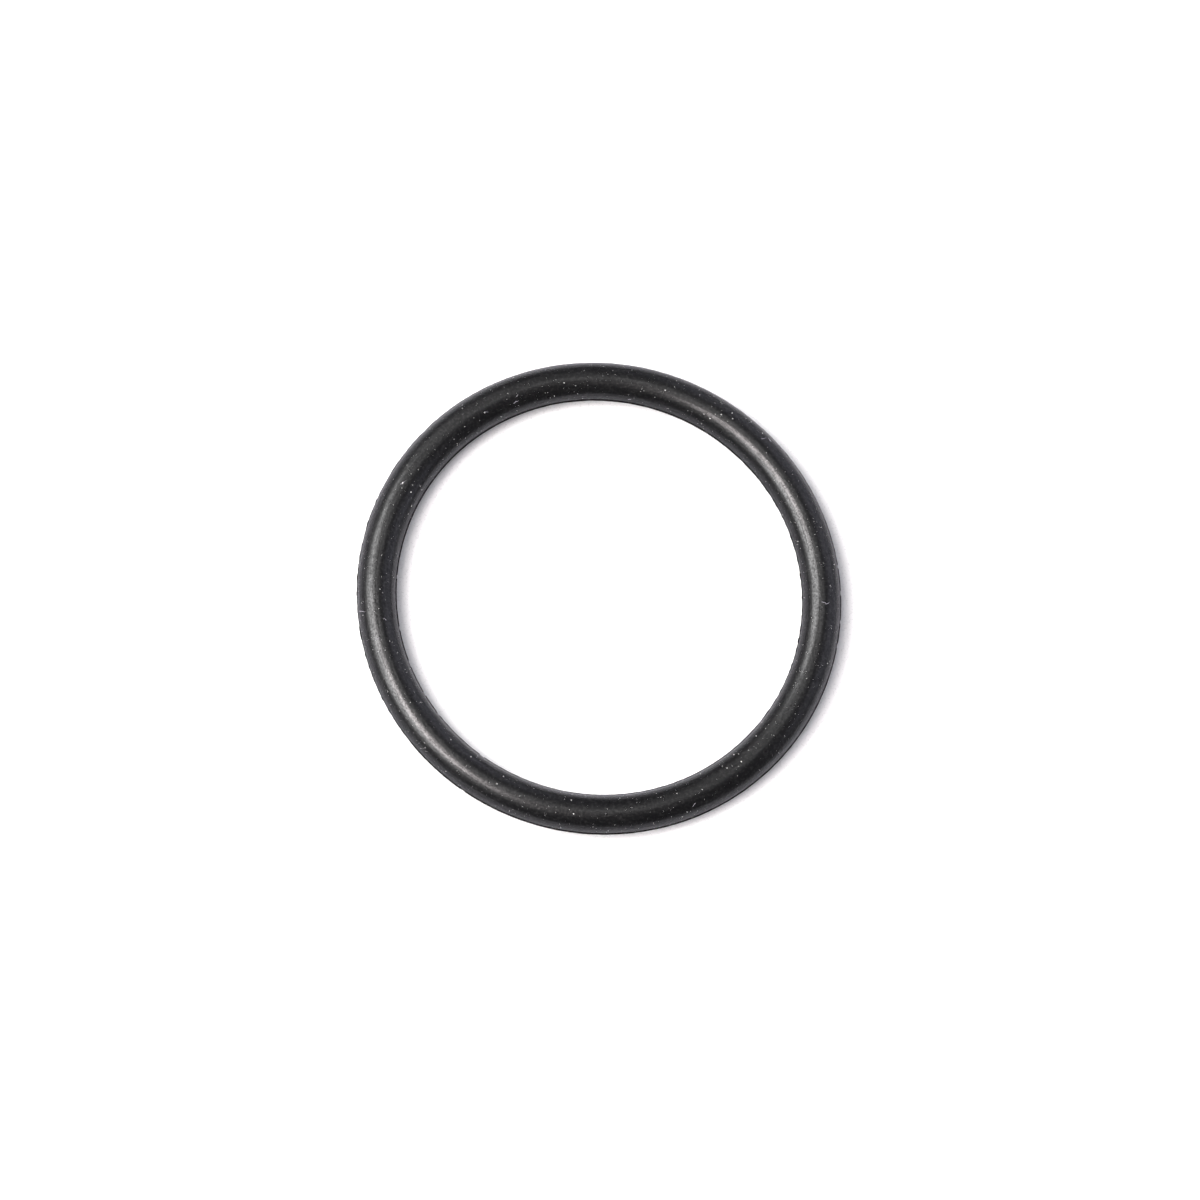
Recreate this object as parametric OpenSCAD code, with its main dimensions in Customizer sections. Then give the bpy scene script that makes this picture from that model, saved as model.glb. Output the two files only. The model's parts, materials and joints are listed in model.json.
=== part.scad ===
// Rubber seal ring with a round section, moulded in two halves.
// It lies flat: its axis is Z, and the halves of the mould meet in the plane Z = 0,
// where a thin lip of flash is left round the inside and the outside.
// Lengths are in millimetres, and places round the ring in degrees from +X.

/* [Ring] */
// Inside diameter, across the round section and without the flash
inner_d = 37.69; // [20:0.01:80]
// Diameter of the round section
section_d = 3.53; // [1.78:0.01:7]

/* [Flash at the parting line] */
// How far the lip stands out from the section, inside the ring
inner_flash_reach = 0.1; // [0.06:0.01:0.3]
// How far the lip stands out from the section, round the outside
outer_flash_reach = 0.1; // [0.06:0.01:0.3]
// Thickness of the lip
flash_t = 0.1; // [0.06:0.01:0.3]
// Radius where the lip runs into the section
flash_root_r = 0.05; // [0.02:0.01:0.1]

/* [Torn places in the flash] */
// Depth of a torn place, in from the lip's edge
tear_depth = 0.06; // [0.02:0.01:0.1]
// How much shorter a torn place is at its bottom, at each end
tear_slope = 0.1; // [0.02:0.01:0.14]

/* [Hidden] */

$fn = 180;
section_r = section_d / 2;
ring_r = inner_d / 2 + section_r;
tear_mouth = 0.05;

// Torn places, each with its place round the ring and its length along the lip
inner_tears = [
    [13, 0.5], [20.5, 0.7], [23.5, 0.3], [32, 0.5], [45, 0.4], [58, 0.3],
    [176, 0.4], [191, 0.5], [201.5, 0.8], [211, 0.5], [218, 0.4], [235, 0.6], [342, 0.5]
];
outer_tears = [
    [2, 0.6], [8.5, 0.4], [137, 0.4], [184, 0.5], [188, 0.7], [192.5, 0.4],
    [236, 0.5], [349, 0.6], [355, 0.4]
];

// Half of the fillet at the lip's root, above the parting line and on the section's +X side
module root_fillet(reach) {
    fillet_r = min(flash_root_r, 0.8 * reach);
    centre_y = flash_t / 2 + fillet_r;
    centre_x = sqrt(pow(section_r + fillet_r, 2) - pow(centre_y, 2));
    on_section = section_r / (section_r + fillet_r);
    difference() {
        polygon([
            [centre_x, 0],
            [centre_x, centre_y],
            [centre_x * on_section, centre_y * on_section],
            [section_r / 2, 0]
        ]);
        translate([centre_x, centre_y]) circle(r = fillet_r);
    }
}

// The lip on the section's +X side
module flash_profile(reach) {
    translate([0, -flash_t / 2]) square([section_r + reach, flash_t]);
    root_fillet(reach);
    mirror([0, 1]) root_fillet(reach);
}

// The whole section, with its centre at the origin and the ring's axis on its -X side
module ring_profile() {
    circle(r = section_r);
    flash_profile(outer_flash_reach);
    mirror([1, 0]) flash_profile(inner_flash_reach);
}

// The piece that is missing from a lip: edge_r is the lip's edge, and
// inward is 1 where the lip's root is further out than its edge, and -1 where it is nearer in
module tear(place, length, edge_r, inward) {
    rotate(place) translate([edge_r, 0, 0])
        linear_extrude(height = flash_t + 2 * flash_root_r, center = true)
            polygon([
                [-inward * tear_mouth, -length / 2],
                [0, -length / 2],
                [inward * tear_depth, tear_slope - length / 2],
                [inward * tear_depth, length / 2 - tear_slope],
                [0, length / 2],
                [-inward * tear_mouth, length / 2]
            ]);
}

module o_ring() {
    inner_edge_r = ring_r - section_r - inner_flash_reach;
    outer_edge_r = ring_r + section_r + outer_flash_reach;
    color([0.13, 0.13, 0.135]) difference() {
        rotate_extrude() translate([ring_r, 0]) ring_profile();
        for (t = inner_tears) tear(t[0], t[1], inner_edge_r, 1);
        for (t = outer_tears) tear(t[0], t[1], outer_edge_r, -1);
    }
}

o_ring();
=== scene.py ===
"""A moulded rubber seal ring with its flash, dust and lint, on a white floor under soft lights."""

import json
import math

import bpy
from mathutils import Matrix, Vector


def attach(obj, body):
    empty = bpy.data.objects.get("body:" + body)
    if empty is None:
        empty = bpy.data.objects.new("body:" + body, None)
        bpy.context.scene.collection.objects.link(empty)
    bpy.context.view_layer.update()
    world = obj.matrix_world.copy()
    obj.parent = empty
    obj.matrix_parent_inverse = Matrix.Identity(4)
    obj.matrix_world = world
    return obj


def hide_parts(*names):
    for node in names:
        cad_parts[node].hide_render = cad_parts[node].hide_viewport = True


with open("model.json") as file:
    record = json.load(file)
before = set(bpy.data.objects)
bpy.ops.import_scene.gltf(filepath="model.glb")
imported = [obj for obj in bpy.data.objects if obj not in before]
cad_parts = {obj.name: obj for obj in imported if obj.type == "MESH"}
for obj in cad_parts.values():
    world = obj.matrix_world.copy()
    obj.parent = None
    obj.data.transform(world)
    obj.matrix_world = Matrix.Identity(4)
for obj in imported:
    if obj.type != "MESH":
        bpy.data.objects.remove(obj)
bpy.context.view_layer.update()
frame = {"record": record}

bl_info = {
    "name": "Moulded Seal Ring",
    "version": (1, 0, 0),
    "blender": (4, 5, 0),
    "location": "View3D > Sidebar > Seal Ring",
    "description": "Builds a moulded rubber seal ring with its flash, dust, lint and studio",
    "category": "Add Mesh",
}

MM = 0.001

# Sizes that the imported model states
SEATS = {mount["name"]: mount["dims"]["r_mm"] * MM for mount in frame["record"]["mounts"]}
FLASH_REACH = 0.1 * MM  # This one and the torn places repeat the part's source
INNER_EDGE_R = SEATS["inner_seat"]
OUTER_EDGE_R = SEATS["outer_seat"]
RING_R = (INNER_EDGE_R + OUTER_EDGE_R) / 2
SECTION_R = (OUTER_EDGE_R - INNER_EDGE_R) / 2 - FLASH_REACH

# Torn places in the flash: degrees round the ring from +X, and length along the lip in millimetres
INNER_TEARS = [
    (13, 0.5), (20.5, 0.7), (23.5, 0.3), (32, 0.5), (45, 0.4), (58, 0.3),
    (176, 0.4), (191, 0.5), (201.5, 0.8), (211, 0.5), (218, 0.4), (235, 0.6), (342, 0.5),
]
OUTER_TEARS = [
    (2, 0.6), (8.5, 0.4), (137, 0.4), (184, 0.5), (188, 0.7), (192.5, 0.4),
    (236, 0.5), (349, 0.6), (355, 0.4),
]

# Flecks of dust that stand out: degrees round the ring, degrees outward from the top of the
# section, and size in millimetres
FLECKS = [
    (152, 8, 0.17), (309, -46, 0.14), (309, -10, 0.17), (310, -35, 0.09), (317, -41, 0.11),
    (262, -26, 0.12), (263, 16, 0.12), (271, 8, 0.07), (275, -45, 0.08), (57, -3, 0.14),
    (54, 7, 0.13), (61, -30, 0.12), (59, -32, 0.11), (55, 22, 0.09), (123, -20, 0.16),
    (226, -28, 0.11), (243, -31, 0.11), (233, -28, 0.09), (50, 43, 0.09), (46, 39, 0.1),
    (73, -10, 0.08), (18, 30, 0.08), (172, -5, 0.07), (100, -14, 0.09), (97, -27, 0.08),
    (134, -50, 0.08), (150, -46, 0.08), (156, -54, 0.08), (127, 31, 0.08), (152, 42, 0.09),
    (153, -28, 0.1), (248, 64, 0.09), (246, 54, 0.08), (223, 49, 0.08), (212, 0, 0.08),
    (181, -8, 0.09), (182, -16, 0.09), (305, -20, 0.09), (290, -18, 0.12), (291, 47, 0.1),
    (187, 53, 0.09), (195, -17, 0.07),
]

# Fibres of lint as paths of (degrees round the ring, degrees outward from the top)
FIBRES = [
    [(358.4, -10), (358.3, 2), (357.9, 7), (358.6, 17)],
    [(185.5, 76), (186, 56), (186.4, 41)],
    [(114.8, -36), (114, -32), (113.1, -33)],
    [(113.5, -19), (112.7, -14)],
    [(152.6, 12), (151.5, 5)],
    [(45.2, 17), (44.8, 24), (44.6, 33)],
    [(44.2, 42), (43, 38)],
    [(293.6, 28), (292.5, 37)],
    [(188.7, -13), (189.4, -20)],
    [(194, 26), (193.5, 11)],
    [(81.4, -66), (82.2, -70)],
    [(123, -17), (122, -24)],
]

# Fineness of the patterns, as noise cells in a metre
STREAK_SCALE = 6000.0
GRAIN_SCALE = 4200.0
GLOSS_SCALE = 7000.0
FILM_SCALE = 4000.0
POLISH_SCALE = 1500.0
PAPER_SCALE = 5000.0

# How fast the turning lines change along the ring, as noise cells in one radius
STREAK_RUN = 7.0

# Share of the gloss's patches that follows the turning lines
STREAK_GLOSS = 0.35

# Scattered dust lies down to this angle from the top of the section, in radians
DUST_REACH = 1.7

# Edges of the ring's mesh that bend by more than this are sharp
CREASE = math.radians(40)

# Lights, each with its heading round from +X, its angle down from straight up, its width and its
# height, all in degrees seen from the ring, its share of the glow, its distance in metres and its
# colour
WHITE = (1.0, 1.0, 1.0)
LIGHTS = [
    ("key_middle", 204, 27, 30, 25, 1.0, 0.7, (1.07, 0.98, 0.98)),
    ("key", 177, 43, 58, 38, 0.7, 0.8, WHITE),
    ("key_rim", 170, 37, 96, 78, 0.09, 0.9, WHITE),
    ("overhead", 70, 9, 24, 24, 0.065, 1.1, WHITE),
    ("fill", 27, 62, 84, 54, 0.075, 1.0, (0.92, 0.92, 1.08)),
]

# The floor is a square that reaches this far from the ring, and lies this far under it
FLOOR_REACH = 1.5
FLOOR_GAP = 0.005 * MM

# The ring's centre lies a little above the middle of the frame
LOOK_AT = Vector((0.0, -0.433 * MM, 0.0))


# Settings

class RingSettings(bpy.types.PropertyGroup):
    ring_radius: bpy.props.FloatProperty(
        name="Ring radius", description="From the ring's axis to the middle of the section",
        default=RING_R, min=0.001, unit="LENGTH", precision=5)
    section_radius: bpy.props.FloatProperty(
        name="Section radius", description="Radius of the round section, without the flash",
        default=SECTION_R, min=0.0002, unit="LENGTH", precision=5)
    flash_reach: bpy.props.FloatProperty(
        name="Flash reach", description="How far the lip of flash stands out of the section",
        default=FLASH_REACH, min=0.0, unit="LENGTH", precision=5)
    flash_thickness: bpy.props.FloatProperty(
        name="Flash thickness", description="Thickness of the lip of flash",
        default=0.1 * MM, min=0.00002, unit="LENGTH", precision=5)
    flash_root: bpy.props.FloatProperty(
        name="Flash root radius", description="Radius of the fillet at the lip's root",
        default=0.05 * MM, min=0.00001, unit="LENGTH", precision=5)
    raggedness: bpy.props.FloatProperty(
        name="Raggedness", description="How far the lip's edge wanders in from its full reach",
        default=0.09 * MM, min=0.0, unit="LENGTH", precision=5)
    tear_depth: bpy.props.FloatProperty(
        name="Tear depth", description="Depth of a torn place, in from the lip's edge",
        default=0.085 * MM, min=0.0, unit="LENGTH", precision=5)
    steps_round: bpy.props.IntProperty(
        name="Steps round", description="Number of faces round the ring", default=1200, min=60)
    steps_over: bpy.props.IntProperty(
        name="Steps over", description="Number of faces over half of the section", default=22, min=6)
    seed: bpy.props.IntProperty(
        name="Seed", description="Changes the wandering of the lip's edge", default=4)


class RubberSettings(bpy.types.PropertyGroup):
    colour: bpy.props.FloatVectorProperty(
        name="Rubber", description="Colour of the clean rubber",
        subtype="COLOR", size=3, min=0.0, max=1.0, default=(0.002, 0.002, 0.0022))
    flash_colour: bpy.props.FloatVectorProperty(
        name="Flash", description="Colour of the torn lip, which has no skin",
        subtype="COLOR", size=3, min=0.0, max=1.0, default=(0.006, 0.006, 0.006))
    # The pale edge shows only where the lip faces the softboxes: dust, and a painted highlight there
    edge_dust_and_highlight: bpy.props.FloatVectorProperty(
        name="Flash edge", description="Colour of the lip's edge, where the finest dust sticks",
        subtype="COLOR", size=3, min=0.0, max=1.0, default=(0.3, 0.3, 0.3))
    film_colour: bpy.props.FloatVectorProperty(
        name="Filmed rubber", description="Colour of the rubber under a full film of dust",
        subtype="COLOR", size=3, min=0.0, max=1.0, default=(0.055, 0.054, 0.053))
    roughness: bpy.props.FloatProperty(
        name="Roughness", description="Roughness of the moulded skin",
        subtype="FACTOR", default=0.32, min=0.0, max=1.0)
    roughness_spread: bpy.props.FloatProperty(
        name="Roughness spread", description="How far the roughness wanders to both sides",
        subtype="FACTOR", default=0.05, min=0.0, max=1.0)
    gloss_roughness: bpy.props.FloatProperty(
        name="Gloss roughness", description="Roughness of the skin's glossy patches",
        subtype="FACTOR", default=0.2, min=0.0, max=1.0)
    least_gloss: bpy.props.FloatProperty(
        name="Least gloss", description="Share of the gloss that is left between the glossy patches",
        subtype="FACTOR", default=0.15, min=0.0, max=1.0)
    grain_height: bpy.props.FloatProperty(
        name="Grain height", description="Height of the fine grain left by the mould",
        default=0.045 * MM, min=0.0, unit="LENGTH", precision=6)
    streak_height: bpy.props.FloatProperty(
        name="Streak height", description="Height of the turning lines that run round the ring",
        default=0.022 * MM, min=0.0, unit="LENGTH", precision=6)
    film: bpy.props.FloatProperty(
        name="Dust film", description="How far the finest dust lightens the rubber",
        subtype="FACTOR", default=0.22, min=0.0, max=1.0)


class DustSettings(bpy.types.PropertyGroup):
    count: bpy.props.IntProperty(
        name="Scattered flecks", description="How many flecks lie scattered on the ring",
        default=1500, min=0)
    smallest: bpy.props.FloatProperty(
        name="Smallest fleck", description="Size of the finest flecks",
        default=0.025 * MM, min=0.000001, unit="LENGTH", precision=6)
    largest: bpy.props.FloatProperty(
        name="Largest fleck", description="Size of the coarsest scattered fleck",
        default=0.078 * MM, min=0.000001, unit="LENGTH", precision=6)
    seed: bpy.props.IntProperty(
        name="Seed", description="Changes where the fine dust lies", default=7)
    colour: bpy.props.FloatVectorProperty(
        name="Dust", description="Colour of the dust",
        subtype="COLOR", size=3, min=0.0, max=1.0, default=(0.9, 0.9, 0.88))
    fibre_thickness: bpy.props.FloatProperty(
        name="Fibre thickness", description="Thickness of the fibres of lint",
        default=0.026 * MM, min=0.000001, unit="LENGTH", precision=6)
    fibre_colour: bpy.props.FloatVectorProperty(
        name="Lint", description="Colour of the lint",
        subtype="COLOR", size=3, min=0.0, max=1.0, default=(0.5, 0.48, 0.54))


class StudioSettings(bpy.types.PropertyGroup):
    floor_colour: bpy.props.FloatVectorProperty(
        name="Floor", description="Colour of the floor",
        subtype="COLOR", size=3, min=0.0, max=1.0, default=(0.92, 0.92, 0.92))
    # Darker than the floor that the camera sees, and bluish: the bluish tint is painted shade in the
    # ring's reflections of the floor
    floor_reflected: bpy.props.FloatVectorProperty(
        name="Floor in reflections", description="Colour of the floor where the ring mirrors it",
        subtype="COLOR", size=3, min=0.0, max=1.0, default=(0.46, 0.46, 0.49))
    floor_lift: bpy.props.FloatProperty(
        name="Lifted shadows", description="Light added to the floor as the camera sees it",
        default=0.1, min=0.0)
    floor_grain: bpy.props.FloatProperty(
        name="Paper grain", description="How far the floor's fine grain changes its colour",
        subtype="FACTOR", default=0.12, min=0.0, max=1.0)
    sky_colour: bpy.props.FloatVectorProperty(
        name="Room", description="Colour of the light from all round",
        subtype="COLOR", size=3, min=0.0, max=1.0, default=(0.9, 0.9, 1.0))
    sky_strength: bpy.props.FloatProperty(
        name="Room light", description="Strength of the light from all round",
        default=0.12, min=0.0)
    key_glow: bpy.props.FloatProperty(
        name="Softbox glow", description="Radiance of the middle of the large softbox",
        default=10.0, min=0.0)
    distance: bpy.props.FloatProperty(
        name="Camera distance", description="From the camera to the ring's centre",
        default=0.4, min=0.05, unit="LENGTH")
    tilt: bpy.props.FloatProperty(
        name="Camera tilt", description="Angle between the line of sight and the ring's axis",
        default=math.radians(15.45), subtype="ANGLE")
    heading: bpy.props.FloatProperty(
        name="Camera heading", description="Side of the ring that is nearest to the camera, from +X",
        default=math.radians(249.6), subtype="ANGLE")
    lens: bpy.props.FloatProperty(
        name="Lens", description="Focal length on a 36 mm square frame, in millimetres",
        default=130.12, min=10.0)


class SealRingSettings(bpy.types.PropertyGroup):
    ring: bpy.props.PointerProperty(type=RingSettings, name="Ring")
    rubber: bpy.props.PointerProperty(type=RubberSettings, name="Rubber")
    dust: bpy.props.PointerProperty(type=DustSettings, name="Dust")
    studio: bpy.props.PointerProperty(type=StudioSettings, name="Studio")


# Node wiring

class Wiring:
    """Adds nodes to one tree. A value given for an input is a plain value or a socket to link."""

    def __init__(self, tree):
        self.tree = tree

    def add(self, kind, inputs=None, **settings):
        node = self.tree.nodes.new(kind)
        for name, value in settings.items():
            setattr(node, name, value)
        for key, value in (inputs or {}).items():
            self.feed(node.inputs[key], value)
        return node

    def feed(self, socket, value):
        if isinstance(value, bpy.types.NodeSocket):
            self.tree.links.new(value, socket)
        else:
            socket.default_value = value

    def math(self, operation, *values):
        node = self.add("ShaderNodeMath", operation=operation)
        for socket, value in zip(node.inputs, values):
            self.feed(socket, value)
        return node.outputs[0]

    def vector(self, operation, *values):
        node = self.add("ShaderNodeVectorMath", operation=operation)
        for socket, value in zip(node.inputs, values):
            self.feed(socket, value)
        scalar = operation in ("LENGTH", "DISTANCE")
        return node.outputs["Value" if scalar else "Vector"]

    def split(self, vector):
        return self.add("ShaderNodeSeparateXYZ", {"Vector": vector}).outputs

    def join(self, x, y, z):
        return self.add("ShaderNodeCombineXYZ", {"X": x, "Y": y, "Z": z}).outputs[0]

    def fade(self, value, start, end, low=0.0, high=1.0, smooth=True):
        kind = "SMOOTHSTEP" if smooth else "LINEAR"
        return self.add("ShaderNodeMapRange", {
            "Value": value, "From Min": start, "From Max": end, "To Min": low, "To Max": high,
        }, interpolation_type=kind).outputs[0]


def new_tree(name, inputs, outputs, kind="GeometryNodeTree"):
    """A node group with named sockets, its Wiring, its input node and its output node."""
    tree = bpy.data.node_groups.new(name, kind)
    for side, sockets in (("INPUT", inputs), ("OUTPUT", outputs)):
        for socket_name, socket_type in sockets:
            tree.interface.new_socket(socket_name, in_out=side, socket_type=socket_type)
    wiring = Wiring(tree)
    source = wiring.add("NodeGroupInput").outputs
    sink = wiring.add("NodeGroupOutput").inputs
    return tree, wiring, source, sink


def grow(name, base, tree, values):
    """Runs a Geometry Nodes tree on a base mesh and returns the result as a plain mesh object."""
    carrier = bpy.data.objects.new(name + "_base", base)
    bpy.context.scene.collection.objects.link(carrier)
    modifier = carrier.modifiers.new("Growth", "NODES")
    modifier.node_group = tree
    items = tree.interface.items_tree
    sockets = {item.name: item.identifier for item in items if item.in_out == "INPUT"}
    for socket_name, value in values.items():
        modifier[sockets[socket_name]] = value
    evaluated = carrier.evaluated_get(bpy.context.evaluated_depsgraph_get())
    mesh = bpy.data.meshes.new_from_object(evaluated)
    mesh.name = name
    carrier.modifiers.remove(modifier)
    bpy.data.objects.remove(carrier)
    piece = bpy.data.objects.new(name, mesh)
    bpy.context.scene.collection.objects.link(piece)
    return piece


# Rubber

def grain_group():
    """Shader group: the mould's fine grain and turning lines as one height in metres, and masks for
    the film of dust, the polish and the gloss."""
    tree, w, source, sink = new_tree(
        "Moulded skin",
        [("Position", "NodeSocketVector"), ("Grain height", "NodeSocketFloat"),
         ("Streak height", "NodeSocketFloat")],
        [("Height", "NodeSocketFloat"), ("Film", "NodeSocketFloat"), ("Polish", "NodeSocketFloat"),
         ("Gloss", "NodeSocketFloat")],
        "ShaderNodeTree")
    place = source["Position"]
    x, y, z = w.split(place)
    radius = w.vector("LENGTH", w.join(x, y, 0.0))
    round_x = w.math("DIVIDE", x, radius)
    round_y = w.math("DIVIDE", y, radius)
    # Lines run round the ring: they change fast across the section and slowly along it
    across = w.math("MULTIPLY", radius, STREAK_SCALE)
    upward = w.math("MULTIPLY", z, STREAK_SCALE)
    streaks = w.add("ShaderNodeTexNoise", {
        "Vector": w.join(w.math("MULTIPLY", round_x, STREAK_RUN),
                         w.math("MULTIPLY", round_y, STREAK_RUN), across),
        "W": upward, "Scale": 1.0, "Detail": 2.0,
    }, noise_dimensions="4D").outputs[0]
    grain = w.add("ShaderNodeTexNoise", {
        "Vector": place, "Scale": GRAIN_SCALE, "Detail": 3.0, "Roughness": 0.6,
    }).outputs[0]
    height = w.math("ADD",
                    w.math("MULTIPLY", streaks, source["Streak height"]),
                    w.math("MULTIPLY", grain, source["Grain height"]))
    patches = w.add("ShaderNodeTexNoise", {
        "Vector": place, "Scale": GLOSS_SCALE, "Detail": 1.0, "Roughness": 0.6,
    }).outputs[0]
    film = w.add("ShaderNodeTexNoise", {
        "Vector": place, "Scale": FILM_SCALE, "Detail": 3.0, "Roughness": 0.7,
    }).outputs[0]
    polish = w.add("ShaderNodeTexNoise", {
        "Vector": place, "Scale": POLISH_SCALE, "Detail": 4.0, "Roughness": 0.75,
    }).outputs[0]
    w.feed(sink["Height"], height)
    w.feed(sink["Film"], film)
    w.feed(sink["Polish"], polish)
    w.feed(sink["Gloss"], w.math("ADD",
                                 w.math("MULTIPLY", patches, 1.0 - STREAK_GLOSS),
                                 w.math("MULTIPLY", streaks, STREAK_GLOSS)))
    return tree


def rubber_material(settings):
    material = bpy.data.materials.new("Black rubber")
    material.use_nodes = True
    w = Wiring(material.node_tree)
    shader = material.node_tree.nodes["Principled BSDF"]
    coordinates = w.add("ShaderNodeTexCoord")
    skin = w.add("ShaderNodeGroup", node_tree=grain_group())
    w.feed(skin.inputs["Position"], coordinates.outputs["Object"])
    skin.inputs["Grain height"].default_value = settings.grain_height
    skin.inputs["Streak height"].default_value = settings.streak_height
    film = w.fade(skin.outputs["Film"], 0.45, 0.7, 0.0, settings.film)
    colour = w.add("ShaderNodeMix", data_type="RGBA")
    w.feed(colour.inputs["Factor"], film)
    w.feed(colour.inputs["A"], (*settings.colour, 1.0))
    w.feed(colour.inputs["B"], (*settings.film_colour, 1.0))
    w.feed(shader.inputs["Base Color"], colour.outputs["Result"])
    spread = settings.roughness_spread
    roughness = w.fade(skin.outputs["Polish"], 0.3, 0.7,
                       settings.roughness - spread, settings.roughness + spread, smooth=False)
    w.feed(shader.inputs["Roughness"], roughness)
    bump = w.add("ShaderNodeBump", {"Strength": 1.0, "Distance": 1.0, "Height": skin.outputs["Height"]})
    w.feed(shader.inputs["Normal"], bump.outputs["Normal"])
    # The gloss is patchy at the size of the grain
    gloss = w.fade(skin.outputs["Gloss"], 0.39, 0.61, settings.least_gloss, 1.0, smooth=False)
    w.feed(shader.inputs["Coat Weight"], gloss)
    shader.inputs["Coat Roughness"].default_value = settings.gloss_roughness
    shader.inputs["Coat IOR"].default_value = 1.52
    shader.inputs["Specular IOR Level"].default_value = 0.22
    shader.inputs["IOR"].default_value = 1.5
    return material


def flash_material(settings):
    """Torn rubber without a skin: black on the lip's flat, and pale along its edge on the side that faces
    the softboxes, which is dust and a painted highlight; on the other side the edge stays black.
    """
    material = dull_material("Torn rubber", settings.flash_colour, 0.1)
    w = Wiring(material.node_tree)
    on_lip = w.add("ShaderNodeAttribute", attribute_name="on_lip").outputs["Fac"]
    colour = w.add("ShaderNodeMix", data_type="RGBA")
    # The edge is pale only where the lip's share is raised on the side that faces the softboxes: dust and
    # a painted highlight
    w.feed(colour.inputs["Factor"], w.fade(on_lip, 0.8, 1.0))
    w.feed(colour.inputs["A"], (*settings.flash_colour, 1.0))
    w.feed(colour.inputs["B"], (*settings.edge_dust_and_highlight, 1.0))
    w.feed(material.node_tree.nodes["Principled BSDF"].inputs["Base Color"], colour.outputs["Result"])
    return material


# Ring

def section_points(settings):
    """The section as (outward, upward, lip) points, where lip is 1 on the outer lip's edge, -1 on the
    inner lip's edge and fades to 0 at the roots."""
    radius = settings.section_radius
    reach = settings.flash_reach
    half = settings.flash_thickness / 2
    fillet = settings.flash_root
    centre_up = half + fillet
    centre_out = math.sqrt((radius + fillet) ** 2 - centre_up ** 2)
    start = math.atan2(centre_up, centre_out)
    # The lip's edge is rounded off: share of the flat's length out from the root, share of the half
    # thickness, and lip
    flat = radius + reach - centre_out
    nose = [(1.0, 0.3, 1.0), (0.95, 0.75, 0.97), (0.8, 0.96, 0.85), (0.0, 1.0, 0.1)]
    quarter = [(centre_out + flat * out, half * up, lip) for out, up, lip in nose]
    fillet_steps = 4
    sweep = math.pi / 2 - start
    for step in range(1, fillet_steps):
        angle = -math.pi / 2 - sweep * step / fillet_steps
        outward = centre_out + fillet * math.cos(angle)
        quarter.append((outward, centre_up + fillet * math.sin(angle), 0.05))
    top = []
    steps = settings.steps_over
    for step in range(steps + 1):
        angle = start + (math.pi - 2 * start) * step / steps
        top.append((radius * math.cos(angle), radius * math.sin(angle), 0.0))
    inner = [(-x, z, -lip) for x, z, lip in reversed(quarter)]
    upper = quarter + top + inner
    lower = [(x, -z, lip) for x, z, lip in reversed(upper)]
    return upper + lower


def point_mesh(name, points, **attributes):
    """A mesh of bare points, with one float attribute for each list given."""
    mesh = bpy.data.meshes.new(name)
    mesh.from_pydata(points, [], [])
    for attribute_name, values in attributes.items():
        attribute = mesh.attributes.new(attribute_name, "FLOAT", "POINT")
        attribute.data.foreach_set("value", values)
    return mesh


def on_circle(radius, degrees, height=0.0):
    angle = math.radians(degrees)
    return Vector((radius * math.cos(angle), radius * math.sin(angle), height))


def tears_object():
    points = [on_circle(INNER_EDGE_R, place) for place, length in INNER_TEARS]
    points += [on_circle(OUTER_EDGE_R, place) for place, length in OUTER_TEARS]
    halves = [length * MM / 2 for place, length in INNER_TEARS + OUTER_TEARS]
    mesh = point_mesh("tears", points, half_length=halves)
    tears = bpy.data.objects.new("tears", mesh)
    bpy.context.scene.collection.objects.link(tears)
    return tears


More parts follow.
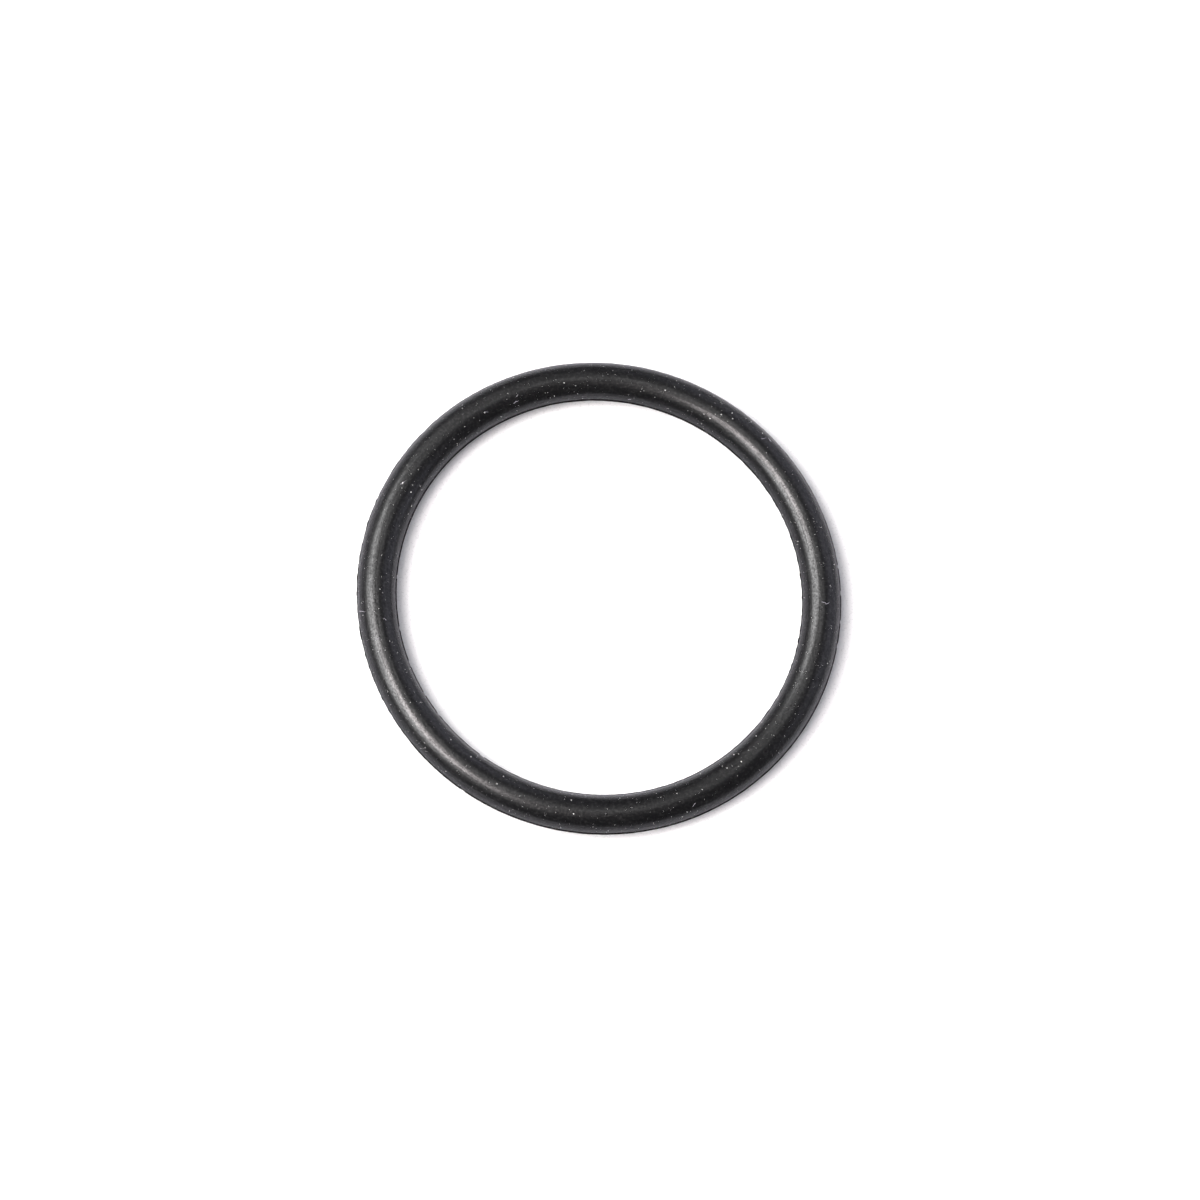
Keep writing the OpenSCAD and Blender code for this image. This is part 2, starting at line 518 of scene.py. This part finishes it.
def ring_tree():
    """Geometry Nodes: sweeps the section's points round the ring, with a ragged and torn lip."""
    tree, w, source, sink = new_tree(
        "Moulded ring",
        [("Section", "NodeSocketGeometry"), ("Tears", "NodeSocketObject"),
         ("Ring radius", "NodeSocketFloat"), ("Steps round", "NodeSocketInt"),
         ("Raggedness", "NodeSocketFloat"), ("Tear depth", "NodeSocketFloat"),
         ("Seed", "NodeSocketInt"), ("Rubber", "NodeSocketMaterial"), ("Flash", "NodeSocketMaterial")],
        [("Ring", "NodeSocketGeometry")])
    section = source["Section"]
    count = w.add("GeometryNodeAttributeDomainSize", {"Geometry": section}).outputs["Point Count"]
    grid = w.add("GeometryNodeMeshGrid", {
        "Size X": 1.0, "Size Y": 1.0,
        "Vertices X": w.math("ADD", source["Steps round"], 1.0),
        "Vertices Y": w.math("ADD", count, 1.0),
    })
    here = w.split(w.add("GeometryNodeInputPosition").outputs[0])
    turn = w.math("MULTIPLY", w.math("ADD", here["X"], 0.5), math.tau)
    over = w.math("ROUND", w.math("MULTIPLY", w.math("ADD", here["Y"], 0.5), count))
    index = w.math("MODULO", over, count)
    point = w.add("GeometryNodeSampleIndex", {
        "Geometry": section, "Value": w.add("GeometryNodeInputPosition").outputs[0], "Index": index,
    }, data_type="FLOAT_VECTOR").outputs[0]
    lip_attribute = w.add("GeometryNodeInputNamedAttribute", {"Name": "lip"}, data_type="FLOAT")
    lip = w.add("GeometryNodeSampleIndex", {
        "Geometry": section, "Value": lip_attribute.outputs[0], "Index": index,
    }, data_type="FLOAT").outputs[0]
    out_and_up = w.split(point)
    cosine = w.math("COSINE", turn)
    sine = w.math("SINE", turn)
    plain_radius = w.math("ADD", source["Ring radius"], out_and_up["X"])

    # The edge of the lip wanders in from its full reach, and more so where it is torn
    wander = w.add("ShaderNodeTexNoise", {
        "Vector": w.join(cosine, sine, w.math("SIGN", lip)), "W": source["Seed"],
        "Scale": 30.0, "Detail": 5.0, "Roughness": 0.65,
    }, noise_dimensions="4D").outputs[0]
    # The outer lip is worn on the -X side of the ring, and the inner lip on its +X side. These are the
    # sides that face the softboxes, where the lip's edge also gets a painted highlight
    wear_and_lit_side = w.fade(w.math("MULTIPLY", w.math("SIGN", lip), cosine), -0.95, -0.6, 1.0, 0.2)
    ragged = w.math("MULTIPLY", w.fade(wander, 0.4, 0.6, smooth=False),
                    w.math("MULTIPLY", source["Raggedness"], wear_and_lit_side))
    tears = w.add("GeometryNodeObjectInfo", {"Object": source["Tears"]}).outputs["Geometry"]
    flat_x = w.math("MULTIPLY", plain_radius, cosine)
    flat_y = w.math("MULTIPLY", plain_radius, sine)
    flat = w.join(flat_x, flat_y, 0.0)
    nearest = w.add("GeometryNodeSampleNearest", {"Geometry": tears, "Sample Position": flat}).outputs[0]
    tear_place = w.add("GeometryNodeSampleIndex", {
        "Geometry": tears, "Value": w.add("GeometryNodeInputPosition").outputs[0], "Index": nearest,
    }, data_type="FLOAT_VECTOR").outputs[0]
    half_attribute = w.add("GeometryNodeInputNamedAttribute", {"Name": "half_length"}, data_type="FLOAT")
    half_length = w.add("GeometryNodeSampleIndex", {
        "Geometry": tears, "Value": half_attribute.outputs[0], "Index": nearest,
    }, data_type="FLOAT").outputs[0]
    share = w.math("DIVIDE", w.vector("DISTANCE", flat, tear_place), half_length)
    torn = w.math("MULTIPLY", w.fade(share, 1.0, 0.6), source["Tear depth"])
    missing = w.math("MULTIPLY", w.math("MAXIMUM", ragged, torn), lip)
    radius = w.math("SUBTRACT", plain_radius, missing)
    placed = w.join(
        w.math("MULTIPLY", radius, cosine), w.math("MULTIPLY", radius, sine), out_and_up["Z"])
    # The lip's share, kept full on the sides that face the softboxes and lowered elsewhere, so that only
    # there the lip's edge takes the pale colour of a painted highlight
    marked = w.add("GeometryNodeStoreNamedAttribute", {
        "Geometry": grid.outputs["Mesh"], "Name": "on_lip",
        "Value": w.math("MULTIPLY", w.math("ABSOLUTE", lip), w.math("MULTIPLY_ADD", wear_and_lit_side, 0.25, 0.75)),
    }, data_type="FLOAT", domain="POINT")
    swept = w.add("GeometryNodeSetPosition", {"Geometry": marked.outputs[0], "Position": placed})
    closed = w.add("GeometryNodeMergeByDistance", {"Geometry": swept.outputs[0], "Distance": 1e-6})
    smooth = w.add("GeometryNodeSetShadeSmooth", {"Geometry": closed.outputs[0], "Shade Smooth": True})
    angle = w.add("GeometryNodeInputMeshEdgeAngle").outputs["Unsigned Angle"]
    creased = w.add("GeometryNodeSetShadeSmooth", {
        "Geometry": smooth.outputs[0], "Selection": w.math("GREATER_THAN", angle, CREASE),
        "Shade Smooth": False,
    }, domain="EDGE")
    real = w.add("GeometryNodeRealizeInstances", {"Geometry": creased.outputs[0]})
    moulded = w.add("GeometryNodeSetMaterial", {"Geometry": real.outputs[0], "Material": source["Rubber"]})
    # All of the lip is torn rubber, down to the fillet at its root
    on_lip = w.add("GeometryNodeInputNamedAttribute", {"Name": "on_lip"}, data_type="FLOAT").outputs[0]
    finished = w.add("GeometryNodeSetMaterial", {
        "Geometry": moulded.outputs[0], "Selection": w.math("GREATER_THAN", on_lip, 0.03),
        "Material": source["Flash"],
    })
    w.feed(sink["Ring"], finished.outputs[0])
    return tree


class SEALRING_OT_ring(bpy.types.Operator):
    """Moulds the ring with its lips of flash"""
    bl_idname = "sealring.ring"
    bl_label = "Moulded ring"

    def execute(self, context):
        settings = context.scene.seal_ring.ring
        points = section_points(settings)
        section = point_mesh("section", [(x, 0.0, z) for x, z, lip in points],
                             lip=[lip for x, z, lip in points])
        tears = tears_object()
        ring = grow("moulded_ring", section, ring_tree(), {
            "Tears": tears,
            "Ring radius": settings.ring_radius,
            "Steps round": settings.steps_round,
            "Raggedness": settings.raggedness,
            "Tear depth": settings.tear_depth,
            "Seed": settings.seed,
            "Rubber": rubber_material(context.scene.seal_ring.rubber),
            "Flash": flash_material(context.scene.seal_ring.rubber),
        })
        bpy.data.objects.remove(tears)
        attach(ring, "root")
        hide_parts("o_ring")
        return {"FINISHED"}


# Dust and lint

def on_ring(ring, place, tilt, lift=0.0):
    """A point on the round section: degrees round the ring, and degrees outward from the top."""
    outward = math.radians(tilt)
    radius = ring.section_radius + lift
    return on_circle(ring.ring_radius + radius * math.sin(outward), place, radius * math.cos(outward))


def dull_material(name, colour, specular=0.2):
    material = bpy.data.materials.new(name)
    material.use_nodes = True
    shader = material.node_tree.nodes["Principled BSDF"]
    shader.inputs["Base Color"].default_value = (*colour, 1.0)
    shader.inputs["Roughness"].default_value = 0.8
    shader.inputs["Specular IOR Level"].default_value = specular
    return material


def dust_tree():
    """Geometry Nodes: flecks at the placed points and, by a rule, all over the ring's upper side."""
    tree, w, source, sink = new_tree(
        "Dust flecks",
        [("Placed", "NodeSocketGeometry"), ("Count", "NodeSocketInt"),
         ("Ring radius", "NodeSocketFloat"), ("Section radius", "NodeSocketFloat"),
         ("Smallest", "NodeSocketFloat"), ("Largest", "NodeSocketFloat"),
         ("Seed", "NodeSocketInt"), ("Dust", "NodeSocketMaterial")],
        [("Flecks", "NodeSocketGeometry")])
    turn = w.add("FunctionNodeRandomValue", {
        "Min": 0.0, "Max": math.tau, "Seed": source["Seed"],
    }, data_type="FLOAT").outputs[1]
    tilt = w.add("FunctionNodeRandomValue", {
        "Min": -DUST_REACH, "Max": DUST_REACH, "Seed": w.math("ADD", source["Seed"], 1.0),
    }, data_type="FLOAT").outputs[1]
    radius = w.math("MULTIPLY_ADD", w.math("SINE", tilt), source["Section radius"], source["Ring radius"])
    scattered = w.add("GeometryNodePoints", {
        "Count": source["Count"],
        "Position": w.join(w.math("MULTIPLY", radius, w.math("COSINE", turn)),
                           w.math("MULTIPLY", radius, w.math("SINE", turn)),
                           w.math("MULTIPLY", source["Section radius"], w.math("COSINE", tilt))),
    }).outputs[0]
    # Most flecks are near the smallest size, and few are near the largest
    chance = w.add("FunctionNodeRandomValue", {
        "Seed": w.math("ADD", source["Seed"], 2.0)}, data_type="FLOAT").outputs[1]
    step = w.math("SUBTRACT", source["Largest"], source["Smallest"])
    size = w.math("ADD", source["Smallest"], w.math("MULTIPLY", step, w.math("POWER", chance, 4.0)))
    sized = w.add("GeometryNodeStoreNamedAttribute", {
        "Geometry": scattered, "Name": "size", "Value": size}, data_type="FLOAT", domain="POINT")
    placed = w.add("GeometryNodeMeshToPoints", {"Mesh": source["Placed"]})
    points = w.add("GeometryNodeJoinGeometry")
    for geometry in (placed.outputs[0], sized.outputs[0]):
        w.feed(points.inputs[0], geometry)
    fleck = w.add("GeometryNodeMeshIcoSphere", {"Radius": 0.5, "Subdivisions": 1}).outputs["Mesh"]
    rotation = w.add("FunctionNodeRandomValue", {
        "Min": (0.0, 0.0, 0.0), "Max": (math.tau, math.tau, math.tau), "Seed": 1},
        data_type="FLOAT_VECTOR").outputs[0]
    form = w.add("FunctionNodeRandomValue", {
        "Min": (0.9, 0.6, 0.4), "Max": (1.4, 1.0, 0.8), "Seed": 2}, data_type="FLOAT_VECTOR").outputs[0]
    own_size = w.add("GeometryNodeInputNamedAttribute", {"Name": "size"}, data_type="FLOAT").outputs[0]
    scale = w.add("ShaderNodeVectorMath", {
        "Vector": form, "Scale": own_size}, operation="SCALE").outputs[0]
    flecks = w.add("GeometryNodeInstanceOnPoints", {
        "Points": points.outputs[0], "Instance": fleck, "Rotation": rotation, "Scale": scale})
    real = w.add("GeometryNodeRealizeInstances", {"Geometry": flecks.outputs[0]})
    finished = w.add("GeometryNodeSetMaterial", {"Geometry": real.outputs[0], "Material": source["Dust"]})
    w.feed(sink["Flecks"], finished.outputs[0])
    return tree


def lint_tree():
    """Geometry Nodes: turns paths into fibres that taper to their ends."""
    tree, w, source, sink = new_tree(
        "Lint fibres",
        [("Paths", "NodeSocketGeometry"), ("Thickness", "NodeSocketFloat"), ("Step", "NodeSocketFloat"),
         ("Lint", "NodeSocketMaterial")],
        [("Fibres", "NodeSocketGeometry")])
    curve = w.add("GeometryNodeMeshToCurve", {"Mesh": source["Paths"]}).outputs[0]
    round_bends = w.add("GeometryNodeCurveSplineType", {"Curve": curve}, spline_type="CATMULL_ROM")
    even = w.add("GeometryNodeResampleCurve", {
        "Curve": round_bends.outputs[0], "Length": source["Step"]}, mode="LENGTH")
    along = w.add("GeometryNodeSplineParameter").outputs["Factor"]
    from_middle = w.math("ABSOLUTE", w.math("SUBTRACT", w.math("MULTIPLY", along, 2.0), 1.0))
    taper = w.fade(from_middle, 0.5, 1.0, 1.0, 0.4)
    section = w.add("GeometryNodeCurvePrimitiveCircle", {
        "Resolution": 6, "Radius": w.math("MULTIPLY", source["Thickness"], 0.5)}).outputs["Curve"]
    fibres = w.add("GeometryNodeCurveToMesh", {
        "Curve": even.outputs[0], "Profile Curve": section, "Scale": taper, "Fill Caps": True})
    real = w.add("GeometryNodeRealizeInstances", {"Geometry": fibres.outputs[0]})
    finished = w.add("GeometryNodeSetMaterial", {"Geometry": real.outputs[0], "Material": source["Lint"]})
    w.feed(sink["Fibres"], finished.outputs[0])
    return tree


class SEALRING_OT_dust(bpy.types.Operator):
    """Lays flecks of dust on the ring"""
    bl_idname = "sealring.dust"
    bl_label = "Dust flecks"

    def execute(self, context):
        settings = context.scene.seal_ring.dust
        ring = context.scene.seal_ring.ring
        placed = point_mesh(
            "placed", [on_ring(ring, place, tilt) for place, tilt, size in FLECKS],
            size=[size * MM for place, tilt, size in FLECKS])
        flecks = grow("dust_flecks", placed, dust_tree(), {
            "Count": settings.count,
            "Ring radius": ring.ring_radius,
            "Section radius": ring.section_radius,
            "Smallest": settings.smallest,
            "Largest": settings.largest,
            "Seed": settings.seed,
            "Dust": dull_material("Dust", settings.colour),
        })
        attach(flecks, "root")
        return {"FINISHED"}


class SEALRING_OT_lint(bpy.types.Operator):
    """Lays fibres of lint on the ring"""
    bl_idname = "sealring.lint"
    bl_label = "Lint fibres"

    def execute(self, context):
        settings = context.scene.seal_ring.dust
        ring = context.scene.seal_ring.ring
        lift = settings.fibre_thickness / 2
        points = []
        edges = []
        for path in FIBRES:
            edges += [(len(points) + step, len(points) + step + 1) for step in range(len(path) - 1)]
            points += [on_ring(ring, place, tilt, lift) for place, tilt in path]
        paths = bpy.data.meshes.new("paths")
        paths.from_pydata(points, edges, [])
        fibres = grow("lint_fibres", paths, lint_tree(), {
            "Thickness": settings.fibre_thickness,
            "Step": 0.05 * MM,
            "Lint": dull_material("Lint", settings.fibre_colour),
        })
        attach(fibres, "root")
        return {"FINISHED"}


# Stage

def aim(thing, place, target, up):
    """Puts a camera or a light at a place, looking at a target, with up towards the top of its view."""
    back = (place - target).normalized()
    right = up.cross(back).normalized()
    top = back.cross(right)
    turned = Matrix((right, top, back)).transposed()
    thing.matrix_world = Matrix.Translation(place) @ turned.to_4x4()


def direction(heading, zenith):
    """A unit vector, from a heading round from +X and an angle down from straight up, in radians."""
    level = math.sin(zenith)
    return Vector((level * math.cos(heading), level * math.sin(heading), math.cos(zenith)))


def softbox(name, heading, zenith, wide, tall, glow, distance, colour):
    """An elliptical light whose place and size are given as degrees seen from the ring. Its edge
    is made soft by three ellipses that share the glow."""
    place = direction(math.radians(heading), math.radians(zenith))
    for share, spread in enumerate((0.75, 1.0, 1.25)):
        light = bpy.data.lights.new(name, "AREA")
        light.shape = "ELLIPSE"
        reach = distance + 0.01 * share
        light.size = 2 * spread * reach * math.tan(math.radians(wide) / 2)
        light.size_y = 2 * spread * reach * math.tan(math.radians(tall) / 2)
        light.energy = glow / 3 * math.pi * (math.pi / 4 * light.size * light.size_y)
        light.color = colour
        lamp = bpy.data.objects.new(name, light)
        bpy.context.scene.collection.objects.link(lamp)
        aim(lamp, place * reach, Vector((0.0, 0.0, 0.0)), Vector((0.0, 0.0, 1.0)))


class SEALRING_OT_stage(bpy.types.Operator):
    """Sets the floor, the softboxes and the camera"""
    bl_idname = "sealring.stage"
    bl_label = "Studio"

    def execute(self, context):
        settings = context.scene.seal_ring.studio
        self.lay_floor(context, settings)
        self.light_room(context, settings)
        self.place_camera(context, settings)
        context.scene.view_settings.view_transform = "Standard"
        return {"FINISHED"}

    def lay_floor(self, context, settings):
        height = -context.scene.seal_ring.ring.section_radius - FLOOR_GAP
        signs = [(-1, -1), (1, -1), (1, 1), (-1, 1)]
        corners = [(x * FLOOR_REACH, y * FLOOR_REACH, height) for x, y in signs]
        mesh = bpy.data.meshes.new("floor")
        mesh.from_pydata(corners, [], [(0, 1, 2, 3)])
        material = bpy.data.materials.new("White floor")
        material.use_nodes = True
        shader = material.node_tree.nodes["Principled BSDF"]
        # A lifted white: the floor is paler to the camera than in the ring's reflections
        wiring = Wiring(material.node_tree)
        colour = wiring.add("ShaderNodeMix", data_type="RGBA")
        to_camera = wiring.add("ShaderNodeLightPath").outputs["Is Camera Ray"]
        wiring.feed(colour.inputs["Factor"], to_camera)
        # In the ring's reflections the floor is darker and has a painted bluish shade
        wiring.feed(colour.inputs["A"], (*settings.floor_reflected, 1.0))
        place = wiring.add("ShaderNodeTexCoord").outputs["Object"]
        grain = wiring.add("ShaderNodeTexNoise", {
            "Vector": place, "Scale": PAPER_SCALE, "Detail": 2.0, "Roughness": 0.7,
        }).outputs[0]
        shade = wiring.fade(grain, 0.35, 0.65, 1.0 - settings.floor_grain, 1.0 + settings.floor_grain,
                            smooth=False)
        tone = wiring.vector("MULTIPLY", wiring.join(shade, shade, shade), settings.floor_colour)
        wiring.feed(colour.inputs["B"], tone)
        wiring.feed(shader.inputs["Base Color"], colour.outputs["Result"])
        shader.inputs["Emission Color"].default_value = (*WHITE, 1.0)
        # The floor glows to the camera: a little near the ring, painted light that lifts its shadows, and
        # up to full white far from the ring, as a sweep looks
        lift = wiring.fade(wiring.vector("LENGTH", place), 0.15, 0.6, settings.floor_lift, 1.0)
        wiring.feed(shader.inputs["Emission Strength"], wiring.math("MULTIPLY", to_camera, lift))
        shader.inputs["Roughness"].default_value = 0.9
        shader.inputs["Specular IOR Level"].default_value = 0.0
        mesh.materials.append(material)
        floor = bpy.data.objects.new("floor", mesh)
        context.scene.collection.objects.link(floor)

    def light_room(self, context, settings):
        world = bpy.data.worlds.new("Pale room")
        context.scene.world = world
        world.use_nodes = True
        sky = world.node_tree.nodes["Background"]
        # The camera sees a white backdrop in place of the room's dim light
        wiring = Wiring(world.node_tree)
        seen = wiring.add("ShaderNodeLightPath").outputs["Is Camera Ray"]
        backdrop = wiring.add("ShaderNodeMix", data_type="RGBA")
        wiring.feed(backdrop.inputs["Factor"], seen)
        wiring.feed(backdrop.inputs["A"], (*settings.sky_colour, 1.0))
        wiring.feed(backdrop.inputs["B"], (*WHITE, 1.0))
        wiring.feed(sky.inputs["Color"], backdrop.outputs["Result"])
        strength = wiring.fade(seen, 0.0, 1.0, settings.sky_strength, 1.0, smooth=False)
        wiring.feed(sky.inputs["Strength"], strength)
        for name, heading, zenith, wide, tall, share, distance, colour in LIGHTS:
            softbox(name, heading, zenith, wide, tall, settings.key_glow * share, distance, colour)

    def place_camera(self, context, settings):
        optics = bpy.data.cameras.new("camera")
        optics.lens = settings.lens
        optics.sensor_width = 36.0
        optics.clip_start = 0.01
        optics.clip_end = 20.0
        camera = bpy.data.objects.new("camera", optics)
        context.scene.collection.objects.link(camera)
        place = direction(settings.heading, settings.tilt) * settings.distance
        aim(camera, place, LOOK_AT, Vector((0.0, 1.0, 0.0)))
        context.scene.camera = camera


# Panel and registration

class SEALRING_PT_panel(bpy.types.Panel):
    """Lists the ring's pieces and its studio"""
    bl_label = "Seal Ring"
    bl_idname = "SEALRING_PT_panel"
    bl_space_type = "VIEW_3D"
    bl_region_type = "UI"
    bl_category = "Seal Ring"

    def draw(self, context):
        for operator in OPERATORS:
            self.layout.operator(operator.bl_idname)


OPERATORS = (SEALRING_OT_ring, SEALRING_OT_dust, SEALRING_OT_lint, SEALRING_OT_stage)
CLASSES = (RingSettings, RubberSettings, DustSettings, StudioSettings, SealRingSettings, *OPERATORS,
           SEALRING_PT_panel)


def register():
    for item in CLASSES:
        bpy.utils.register_class(item)
    bpy.types.Scene.seal_ring = bpy.props.PointerProperty(type=SealRingSettings)


def unregister():
    del bpy.types.Scene.seal_ring
    for item in reversed(CLASSES):
        bpy.utils.unregister_class(item)


def main():
    register()
    bpy.ops.sealring.ring()
    bpy.ops.sealring.dust()
    bpy.ops.sealring.lint()
    bpy.ops.sealring.stage()


if __name__ == "__main__":
    main()
